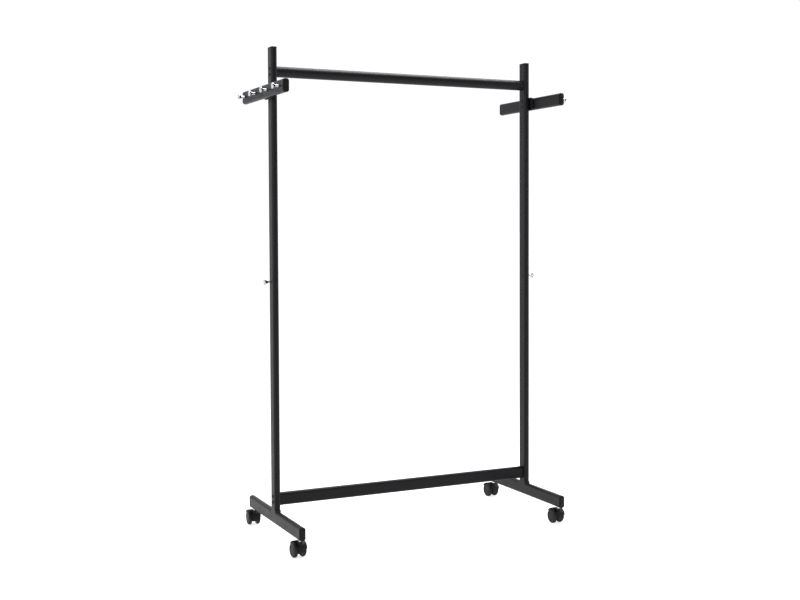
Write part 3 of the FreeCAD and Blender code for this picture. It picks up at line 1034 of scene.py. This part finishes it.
@dataclass
class Pegs:
    """Ten chromed mushroom pegs. Lengths in millimetres, along the peg from its seat.

    The bends say where a curve passes, as shares of its run and of its rise.
    """

    rack: Rack
    length: float = 25.5
    stem: float = 3.8
    straight: float = 7.5
    head: float = 9.6
    rim: float = 2.4
    dome: float = 1.2
    stud: float = 2.5
    stud_length: float = 9.0
    seat_edge: float = 0.5
    rim_edge: float = 0.7
    flare_bend: Point2 = (0.66, 0.36)
    flare_facets: int = 18
    dome_bend: Point2 = (0.75, 0.5)
    dome_facets: int = 12
    pitch: float = 116.0
    per_arm: int = 4
    arm_seat: float = 525.55
    post_seat: float = POST_OUTER_MM
    post_height: float = 871.5

    def outline(self) -> list[Point2]:
        """Half section of a peg: stud, stem, swept flare, rounded rim and domed face."""
        rim_start = self.length - self.dome - self.rim
        rim_end = self.length - self.dome
        run, rise = self.flare_bend
        flare = arc_points(
            (self.straight, self.stem),
            (
                self.straight + run * (rim_start - self.straight),
                self.stem + rise * (self.head - self.stem),
            ),
            (rim_start, self.head),
            self.flare_facets,
        )
        run, rise = self.dome_bend
        face = arc_points(
            (rim_end, self.head),
            (rim_end + self.dome * run, self.head * rise),
            (self.length, 0.0),
            self.dome_facets,
        )
        corners: list[Corner] = [
            (-self.stud_length, 0.0, 0.0),
            (-self.stud_length, self.stud, self.seat_edge),
            (0.0, self.stud, 0.0),
            (0.0, self.stem, self.seat_edge),
            (self.straight, self.stem, 0.0),
            *((along, out, 0.0) for along, out in flare),
            (rim_start, self.head, self.rim_edge),
            (rim_end, self.head, self.rim_edge),
            *((along, out, 0.0) for along, out in face),
            (self.length, 0.0, 0.0),
        ]
        return rounded_outline(corners)

    def build(self) -> None:
        """Turns one peg and places the ten."""
        pattern = lathe("peg_pattern", self.outline())
        for side in Side:
            for number in range(1, self.per_arm + 1):
                along = (number - (self.per_arm + 1) / 2) * self.pitch
                spot = at(side.value * self.arm_seat, along, ARM_HEIGHT_MM)
                self.place(pattern, f"{side.word}_arm_peg_{number}", spot, side)
            spot = at(side.value * self.post_seat, 0, self.post_height)
            self.place(pattern, f"{side.word}_post_peg", spot, side)
        bpy.data.objects.remove(pattern, do_unlink=True)
        self.rack.keep(DARK_PASSIVATE, "arm_peg_rivet_nuts")

    def place(self, pattern: bpy.types.Object, name: str, spot: Matrix, side: Side) -> None:
        """Screws one peg in and dresses it."""
        peg = copy_to(pattern, f"{name}_finished", spot @ facing(side))
        self.rack.add(peg, CHROME, self.rack.root, name)


@dataclass(frozen=True)
class CastorPlace:
    """Where one castor stands and how its fork is turned at rest, in degrees."""

    name: str
    side: Side
    end: End
    yaw: float
    braked: bool


@dataclass(frozen=True)
class WheelSection:
    """Half section of a wheel whose outer face looks towards +X, in millimetres.

    Widths are measured along the axle from the middle of the castor; face_rim to centre are
    measured inwards from the tread.
    """

    radius: float = 25.0
    inner_face: float = 9.5
    outer_face: float = 21.5
    inner_edge: float = 3.0
    outer_edge: float = 6.0
    blind_end: float = 17.9
    bore_edge: float = 0.3
    hub_stand: float = 0.8
    hub_radius: float = 8.0
    hub_edge: float = 0.5
    dish_depth: float = 2.0
    dish_start: float = 9.5
    dish_end: float = 5.5
    dish_edges: Point2 = (0.6, 0.7)
    dish_lip: float = 4.5
    groove_half: float = 0.6
    groove_floor_half: float = 0.35
    groove_depth: float = 0.3
    groove_edges: Point2 = (0.12, 0.1)
    face_rim: float = 7.4
    face_edge: float = 0.5
    ring_depth: float = 1.2
    ring_outer: float = 8.6
    ring_inner: float = 12.5
    ring_edges: Point2 = (0.5, 0.6)
    centre: float = 13.5
    centre_depth: float = 0.4
    centre_crown: float = 0.05
    edge_facets: int = 6

    def outline(self, bore: float) -> list[Point2]:
        """Draws the section from the end of the blind bore round to the outer centre.

        Args:
            bore: radius of the bore.

        Returns:
            (along X, radius) of each point.
        """
        inner, outer, radius = self.inner_face, self.outer_face, self.radius
        groove = (inner + self.inner_edge + outer - self.outer_edge) / 2
        groove_bottom = radius - self.groove_depth
        groove_rim, groove_foot = self.groove_edges
        dish_start_edge, dish_end_edge = self.dish_edges
        ring_outer_edge, ring_inner_edge = self.ring_edges
        corners: list[Corner] = [
            (self.blind_end, 0.0, 0.0),
            (self.blind_end, bore, 0.0),
            (inner - self.hub_stand, bore, self.bore_edge),
            (inner - self.hub_stand, self.hub_radius, self.hub_edge),
            (inner + self.dish_depth, self.dish_start, dish_start_edge),
            (inner + self.dish_depth, radius - self.dish_end, dish_end_edge),
            (inner, radius - self.dish_lip, self.face_edge),
            (inner, radius, self.inner_edge),
            (groove - self.groove_half, radius, groove_rim),
            (groove - self.groove_floor_half, groove_bottom, groove_foot),
            (groove + self.groove_floor_half, groove_bottom, groove_foot),
            (groove + self.groove_half, radius, groove_rim),
            (outer, radius, self.outer_edge),
            (outer, radius - self.face_rim, self.face_edge),
            (outer - self.ring_depth, radius - self.ring_outer, ring_outer_edge),
            (outer - self.ring_depth, radius - self.ring_inner, ring_inner_edge),
            (outer - self.centre_depth, radius - self.centre, ring_inner_edge),
            (outer - self.centre_crown, 0.0, 0.0),
        ]
        return rounded_outline(corners, self.edge_facets)


@dataclass(frozen=True)
class PedalSection:
    """Side view of the brake pedal, following the wheels.

    Corners are the angle, the distance from the axle and the rounding; the grooves part the
    ribs on the pedal's top.
    """

    underside: tuple[Corner, ...] = ((19.0, 26.9, 0.6), (36.0, 27.0, 0.0), (55.0, 27.3, 0.5))
    toe_lip: tuple[Corner, ...] = (
        (57.0, 29.2, 0.6),
        (54.5, 31.3, 0.9),
        (49.5, 31.0, 0.6),
        (45.0, 29.4, 1.2),
    )
    front: tuple[Corner, ...] = ((26.0, 29.25, 0.0), (19.0, 29.2, 0.9))
    grooves: tuple[float, ...] = (41.0, 36.5, 32.0)
    groove_half: float = 0.9
    groove_floor_half: float = 0.5
    groove_top: float = 29.3
    groove_floor: float = 28.8
    groove_edge: float = 0.15

    def corners(self) -> list[Corner]:
        """The corners in order: underside, toe lip, ribbed top and front end."""
        ribbed = [
            (angle + offset, radius, self.groove_edge)
            for angle in self.grooves
            for offset, radius in (
                (self.groove_half, self.groove_top),
                (self.groove_floor_half, self.groove_floor),
                (-self.groove_floor_half, self.groove_floor),
                (-self.groove_half, self.groove_top),
            )
        ]
        return [*self.underside, *self.toe_lip, *ribbed, *self.front]


@dataclass
class Castors:
    """Four twin-wheel castors, the front two with a brake pedal.

    Lengths in millimetres. A castor is drawn with its stem on the Z axis, standing on
    z = 0, and its axle behind the stem; angles are degrees about the axle from straight
    up, positive to the rear.
    """

    rack: Rack
    places: tuple[CastorPlace, ...] = (
        CastorPlace("front_left", Side.LEFT, End.FRONT, 4.0, True),
        CastorPlace("front_right", Side.RIGHT, End.FRONT, 2.0, True),
        CastorPlace("rear_left", Side.LEFT, End.REAR, -3.0, False),
        CastorPlace("rear_right", Side.RIGHT, End.REAR, 5.0, False),
    )
    wheel_section: WheelSection = WheelSection()
    pedal_section: PedalSection = PedalSection()
    stem_from_middle: float = 229.0
    trail: float = 16.0
    axle_radius: float = 3.0
    axle_play: float = 0.06
    web_half: float = 8.6
    web_radius: float = 26.4
    web_edge: float = 0.7
    web_floor: float = -10.0
    brake_web_radius: float = 24.2
    web_clear_end: float = 85.0
    hood_radii: tuple[float, float] = (25.9, 28.2)
    hood_half: float = 21.1
    hood_ends: tuple[float, float] = (-78.0, 60.0)
    brake_hood_end: float = 17.5
    hood_edge: float = 0.9
    hood_tip_edge: float = 0.3
    hood_taper: float = 1.3
    hood_taper_span: float = 16.0
    hood_taper_bend: float = 6.0
    top: float = 53.6
    tower_radius: float = 8.5
    tower_edge: float = 0.8
    spindle_radius: float = 4.0
    spindle_length: float = 19.0
    spindle_edge: float = 0.6
    spindle_end_play: float = 1.0
    stem_gap: float = 0.4
    stem_radius: float = 5.5
    stem_top: float = 83.4
    shoulder_edge: float = 0.5
    stem_top_edge: float = 1.5
    stem_groove: tuple[float, float, float, float] = (2.4, 2.7, 3.5, 3.8)
    stem_groove_depth: float = 0.4
    stem_groove_edge: float = 0.2
    pivot: Point2 = (32.0, 20.0)
    slot_ahead: float = 6.0
    slot_below: float = 5.0
    trunnion: float = 1.6
    pedal_half: float = 17.0
    pedal_edge: float = 0.6
    lug_half: float = 3.6
    lug_play: float = 0.4
    lug_radius: float = 4.0
    neck_step: float = 0.4
    neck_size: tuple[float, float] = (4.8, 7.6)
    neck_behind: float = 1.0
    rim_facets: int = 3
    outline_facets: int = 4

    @staticmethod
    def polar(angle: float, radius: float) -> Point2:
        """(y, z) about the axle of a point at an angle and a distance."""
        turn = math.radians(angle)
        return (radius * math.sin(turn), radius * math.cos(turn))

    def sweep(self, start: float, end: float, radius: float, step: float = 3.0) -> list[Point2]:
        """Points of an arc about the axle.

        Args:
            start: first angle.
            end: last angle, smaller to run the other way.
            radius: distance from the axle.
            step: largest angle between points.

        Returns:
            The (y, z) points, both ends included.
        """
        count = max(1, math.ceil(abs(end - start) / step))
        return [self.polar(start + (end - start) * i / count, radius) for i in range(count + 1)]

    def to_axle(self) -> Matrix:
        """Shift from the axle to the castor's own frame."""
        return at(0, self.trail, self.wheel_section.radius)

    def spot(self, place: CastorPlace) -> Matrix:
        """Where a castor's own frame sits on the rack."""
        foot = at(place.side.value * HALF_SPACING_MM, place.end.value * self.stem_from_middle, 0)
        return foot @ Matrix.Rotation(math.radians(place.yaw), 4, "Z")

    def wheel(self) -> bpy.types.Object:
        """One wheel towards +X: crowned tread with a fine groove, stepped outer face."""
        outline = self.wheel_section.outline(self.axle_radius + self.axle_play)
        return lathe("wheel_pattern", outline)

    def plate(
        self, name: str, points: Sequence[Point2], half: float, edge: float
    ) -> bpy.types.Object:
        """A prism about the axle with its rims rounded.

        Args:
            name: name of the prism.
            points: its side view.
            half: half its width.
            edge: rounding of both rims.

        Returns:
            The prism, drawn about the axle.
        """
        piece = slab(name, points, half)
        with editing(piece):
            round_edges(piece, lambda e: abs(run_of(e).x) < ACROSS, edge, self.rim_facets)
        return piece

    def hood_outline(self, braked: bool) -> list[Point2]:
        """Side view of the hood, thinner towards its front lip, its two ends rounded."""
        front, rear = self.hood_ends
        if braked:
            rear = self.brake_hood_end
        inside, outside = self.hood_radii
        taper_end = front + self.hood_taper_span
        outer = [
            self.polar(front, outside - self.hood_taper),
            *self.sweep(taper_end, rear, outside),
        ]
        inner = self.sweep(rear, front, inside)
        corners = [(y, z, 0.0) for y, z in outer + inner]
        rounded = {
            0: self.hood_tip_edge,
            1: self.hood_taper_bend,
            len(outer) - 1: self.hood_edge,
            len(outer): self.hood_edge,
            len(corners) - 1: self.hood_tip_edge,
        }
        for index, edge in rounded.items():
            corners[index] = (*corners[index][:2], edge)
        return self.closed(corners)

    def closed(self, corners: Sequence[Corner]) -> list[Point2]:
        """Rounds the corners of a closed outline, the first and last among them."""
        return rounded_outline([*corners, *corners[:2]], self.outline_facets)[1:-1]

    def web_outline(self, braked: bool) -> list[Point2]:
        """Side view of the middle web, cut level above the floor and low under a pedal."""
        bottom = math.degrees(math.acos(self.web_floor / self.web_radius))
        if not braked:
            return self.sweep(-bottom, bottom, self.web_radius)
        return [
            *self.sweep(-bottom, self.brake_hood_end, self.web_radius),
            *self.sweep(self.brake_hood_end, self.web_clear_end, self.brake_web_radius),
            *self.sweep(self.web_clear_end, bottom, self.web_radius),
        ]

    def housing(self, braked: bool) -> bpy.types.Object:
        """Web, hood and stem tower in one moulding, with their holes.

        Args:
            braked: whether it carries a pedal.

        Returns:
            The housing in the castor's own frame.
        """
        web = self.web_outline(braked)
        body = self.plate("housing_pattern", web, self.web_half, self.web_edge)
        hood = self.plate("hood", self.hood_outline(braked), self.hood_half, self.hood_edge)
        combine(body, hood, Join.UNITE)
        body.matrix_world = self.to_axle()
        settle(body)
        axle_height = self.wheel_section.radius
        tower_corners: list[Corner] = [
            (axle_height, 0.0, 0.0),
            (axle_height, self.tower_radius, 0.0),
            (self.top, self.tower_radius, self.tower_edge),
            (self.top, 0.0, 0.0),
        ]
        tower = lathe("tower", rounded_outline(tower_corners), STEM_FACETS)
        combine(body, upright(tower), Join.UNITE)
        bore = rod(
            "spindle_bore",
            self.spindle_radius + self.axle_play,
            self.top - self.spindle_length - self.spindle_end_play,
            self.top + self.spindle_length,
        )
        combine(body, upright(bore), Join.CUT)
        axle_hole = rod("axle_hole", self.axle_radius, -2 * self.web_half, 2 * self.web_half)
        axle_hole.matrix_world = self.to_axle()
        combine(body, settle(axle_hole), Join.CUT)
        if braked:
            self.cut_pedal_slot(body)
        return smooth(body)

    def cut_pedal_slot(self, body: bpy.types.Object) -> None:
        """Cuts the room for the pedal's lug and the holes for its trunnions."""
        y, z = self.polar(*self.pivot)
        width = 2 * (self.lug_half + self.lug_play)
        size = self.wheel_section.radius
        slot = start_piece(
            "slot", bpy.ops.mesh.primitive_cube_add, size=MM, scale=(width, size, size)
        )
        corner = at(0, y - self.slot_ahead + size / 2, z - self.slot_below + size / 2)
        slot.matrix_world = self.to_axle() @ corner
        combine(body, settle(slot), Join.CUT)
        pin = rod(
            "pin_hole", self.trunnion + self.axle_play, -2 * self.web_half, 2 * self.web_half
        )
        pin.matrix_world = self.to_axle() @ at(0, y, z)
        combine(body, settle(pin), Join.CUT)

    def pedal_outline(self) -> list[Point2]:
        """Side view of the pedal: follows the wheels, ribbed on top, ends in a toe lip."""
        corners = self.pedal_section.corners()
        return self.closed([(*self.polar(angle, radius), edge) for angle, radius, edge in corners])

    def pedal(self) -> bpy.types.Object:
        """Ribbed pedal with its lug and trunnions, in the castor's own frame."""
        y, z = self.polar(*self.pivot)
        outline = self.pedal_outline()
        body = self.plate("pedal_pattern", outline, self.pedal_half, self.pedal_edge)
        depth, height = self.neck_size
        neck = start_piece(
            "neck",
            bpy.ops.mesh.primitive_cube_add,
            size=MM,
            scale=(2 * self.lug_half - self.neck_step, depth, height),
        )
        neck.matrix_world = at(0, y + self.neck_behind, z + height / 2)
        combine(body, settle(neck), Join.UNITE)
        pin_half = self.web_half - self.lug_play
        for name, radius, half in (
            ("lug", self.lug_radius, self.lug_half),
            ("trunnions", self.trunnion, pin_half),
        ):
            bar = rod(name, radius, -half, half)
            bar.matrix_world = at(0, y, z)
            combine(body, settle(bar), Join.UNITE)
        body.matrix_world = self.to_axle()
        return smooth(settle(body))

    def stem(self) -> bpy.types.Object:
        """Zinc plated stem along Z: spindle, then the thicker shank with its collar groove."""
        foot = self.top - self.spindle_length
        shoulder = self.top + self.stem_gap
        start, floor_start, floor_end, end = (shoulder + height for height in self.stem_groove)
        groove_radius = self.stem_radius - self.stem_groove_depth
        corners: list[Corner] = [
            (foot, 0.0, 0.0),
            (foot, self.spindle_radius, self.spindle_edge),
            (shoulder, self.spindle_radius, 0.0),
            (shoulder, self.stem_radius, self.shoulder_edge),
            (start, self.stem_radius, self.stem_groove_edge),
            (floor_start, groove_radius, self.stem_groove_edge),
            (floor_end, groove_radius, self.stem_groove_edge),
            (end, self.stem_radius, self.stem_groove_edge),
            (self.stem_top, self.stem_radius, self.stem_top_edge),
            (self.stem_top, 0.0, 0.0),
        ]
        return upright(lathe("stem_pattern", rounded_outline(corners), STEM_FACETS))

    def build(self) -> None:
        """Models each kind of piece once and sets up the four castors."""
        wheel, stem, pedal = self.wheel(), self.stem(), self.pedal()
        housings = {braked: self.housing(braked) for braked in (True, False)}
        for place in self.places:
            spot = self.spot(place)
            fork = f"{place.name}_castor"
            self.place(stem, f"{fork}_stem", spot, BRIGHT_ZINC, self.rack.root)
            self.place(housings[place.braked], f"{fork}_housing", spot, GLASS_NYLON, fork)
            self.rack.keep(BRIGHT_ZINC, f"{fork}_axle")
            for side in Side:
                hub = spot @ self.to_axle() @ facing(side)
                body = f"{place.name}_{side.word}_wheel"
                self.place(wheel, f"{fork}_{side.word}_wheel", hub, WHEEL_NYLON, body)
            if place.braked:
                name = f"{place.name}_brake_pedal"
                self.place(pedal, name, spot, GLASS_NYLON, f"{place.name}_pedal")
        for pattern in (wheel, stem, pedal, *housings.values()):
            bpy.data.objects.remove(pattern, do_unlink=True)

    def place(
        self, pattern: bpy.types.Object, name: str, spot: Matrix, finish: Finish, body: str
    ) -> None:
        """Copies a piece to its place, dresses it and rides it on its body.

        Args:
            pattern: the piece in the castor's own frame.
            name: the CAD node it replaces.
            spot: where it goes.
            finish: what it is made of.
            body: the body it moves with.
        """
        piece = copy_to(pattern, f"{name}_finished", spot)
        self.rack.add(piece, finish, body, name)


@dataclass(frozen=True)
class Softbox:
    """One rectangular soft light: place and size in metres, power in watts."""

    name: str
    place: Corner
    size: Point2
    power: float


@dataclass
class Studio:
    """Pale floor, soft lights and the camera. Lengths in metres."""

    eye: tuple[float, float, float] = (-1.7701, -3.6644, 1.0549)
    ahead: tuple[float, float, float] = (0.43037, 0.90191, -0.03668)
    above: tuple[float, float, float] = (0.01953, 0.03132, 0.99932)
    lens_mm: float = 52.12
    sensor_mm: float = 36.0
    shift_up: float = -0.0389
    farthest: float = 200.0
    floor_size: float = 400.0
    floor_colour: str = "#BEBEBD"
    floor_roughness: float = 0.8
    floor_specular: float = 0.1
    floor_glow: float = 0.74
    glow_colour: str = "#FFFFFF"
    backdrop_colour: str = "#FCFCFF"
    front_strength: float = 0.2
    back_strength: float = 1.08
    fade: Point2 = (-0.7, 0.45)
    aim: Corner = (0.0, 0.0, 0.85)
    lamps: tuple[Softbox, ...] = (
        Softbox("softbox_left", (-3.4, 0.2, 1.5), (1.6, 2.6), 30.0),
        Softbox("softbox_top", (0.8, 0.3, 3.6), (1.8, 1.8), 110.0),
        Softbox("softbox_right", (3.2, -0.8, 1.4), (0.6, 2.8), 60.0),
        Softbox("softbox_camera_side", (-2.7, -3.7, 2.3), (1.2, 1.2), 50.0),
    )

    def build(self) -> None:
        """Makes the floor, the light and the camera."""
        self.floor()
        self.daylight()
        self.softboxes()
        self.camera()

    def floor(self) -> None:
        """One pale, faintly back-lit acrylic floor, not part of the rack."""
        floor = start_piece(
            "studio_floor", bpy.ops.mesh.primitive_plane_add, size=self.floor_size
        )
        acrylic = bpy.data.materials.new("back_lit_acrylic")
        acrylic.use_nodes = True
        shader = acrylic.node_tree.nodes["Principled BSDF"]
        for socket, value in (
            ("Base Color", linear(self.floor_colour)),
            ("Roughness", self.floor_roughness),
            ("Specular IOR Level", self.floor_specular),
            ("Emission Color", linear(self.glow_colour)),
            ("Emission Strength", self.floor_glow),
        ):
            shader.inputs[socket].default_value = value
        floor.data.materials.append(acrylic)

    def daylight(self) -> None:
        """A white backdrop all round the back, fading to a dim room in front."""
        world = bpy.data.worlds.new("white_backdrop")
        world.use_nodes = True
        bpy.context.scene.world = world
        tree = world.node_tree
        tree.nodes.clear()
        direction = add_node(tree, "ShaderNodeTexCoord", {}).outputs["Generated"]
        parts = add_node(tree, "ShaderNodeSeparateXYZ", {}, {"Vector": direction})
        dim_end, white_end = self.fade
        strength = add_node(
            tree,
            "ShaderNodeMapRange",
            {
                "interpolation_type": "SMOOTHSTEP",
                "From Min": dim_end,
                "From Max": white_end,
                "To Min": self.front_strength,
                "To Max": self.back_strength,
            },
            {"Value": parts.outputs["Y"]},
        )
        backdrop = add_node(
            tree,
            "ShaderNodeBackground",
            {"Color": linear(self.backdrop_colour)},
            {"Strength": strength.outputs["Result"]},
        )
        add_node(
            tree,
            "ShaderNodeOutputWorld",
            {},
            {"Surface": backdrop.outputs["Background"]},
        )

    def softboxes(self) -> None:
        """Hangs the soft lights, each turned to the rack's middle."""
        for softbox in self.lamps:
            lamp = bpy.data.lights.new(softbox.name, "AREA")
            lamp.shape = "RECTANGLE"
            lamp.size, lamp.size_y = softbox.size
            lamp.energy = softbox.power
            box = bpy.data.objects.new(softbox.name, lamp)
            bpy.context.scene.collection.objects.link(box)
            box.location = softbox.place
            towards = Vector(self.aim) - Vector(softbox.place)
            box.rotation_euler = towards.to_track_quat("-Z", "Y").to_euler()

    def camera(self) -> None:
        """The camera a metre up, front left of the rack, its film shifted down a little."""
        ahead = Vector(self.ahead).normalized()
        right = ahead.cross(Vector(self.above)).normalized()
        above = right.cross(ahead)
        lens = bpy.data.cameras.new("studio_camera")
        lens.lens = self.lens_mm
        lens.sensor_width = self.sensor_mm
        lens.shift_y = self.shift_up
        lens.clip_end = self.farthest
        camera = bpy.data.objects.new("studio_camera", lens)
        bpy.context.scene.collection.objects.link(camera)
        turn = Matrix((right, above, -ahead)).transposed().to_4x4()
        camera.matrix_world = Matrix.Translation(self.eye) @ turn
        bpy.context.scene.camera = camera


def main() -> None:
    """Builds the rack's look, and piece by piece."""
    logging.basicConfig(level=logging.INFO, format="%(name)s: %(message)s")
    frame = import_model()
    bpy.context.scene.view_settings.view_transform = "Standard"
    rack = Rack(nodes=frame["nodes"])
    Studio().build()
    TubeFrame(rack).build()
    EndCaps(rack).build()
    ArmSpacers(rack).build()
    Pegs(rack).build()
    Castors(rack).build()


if __name__ == "__main__":
    main()
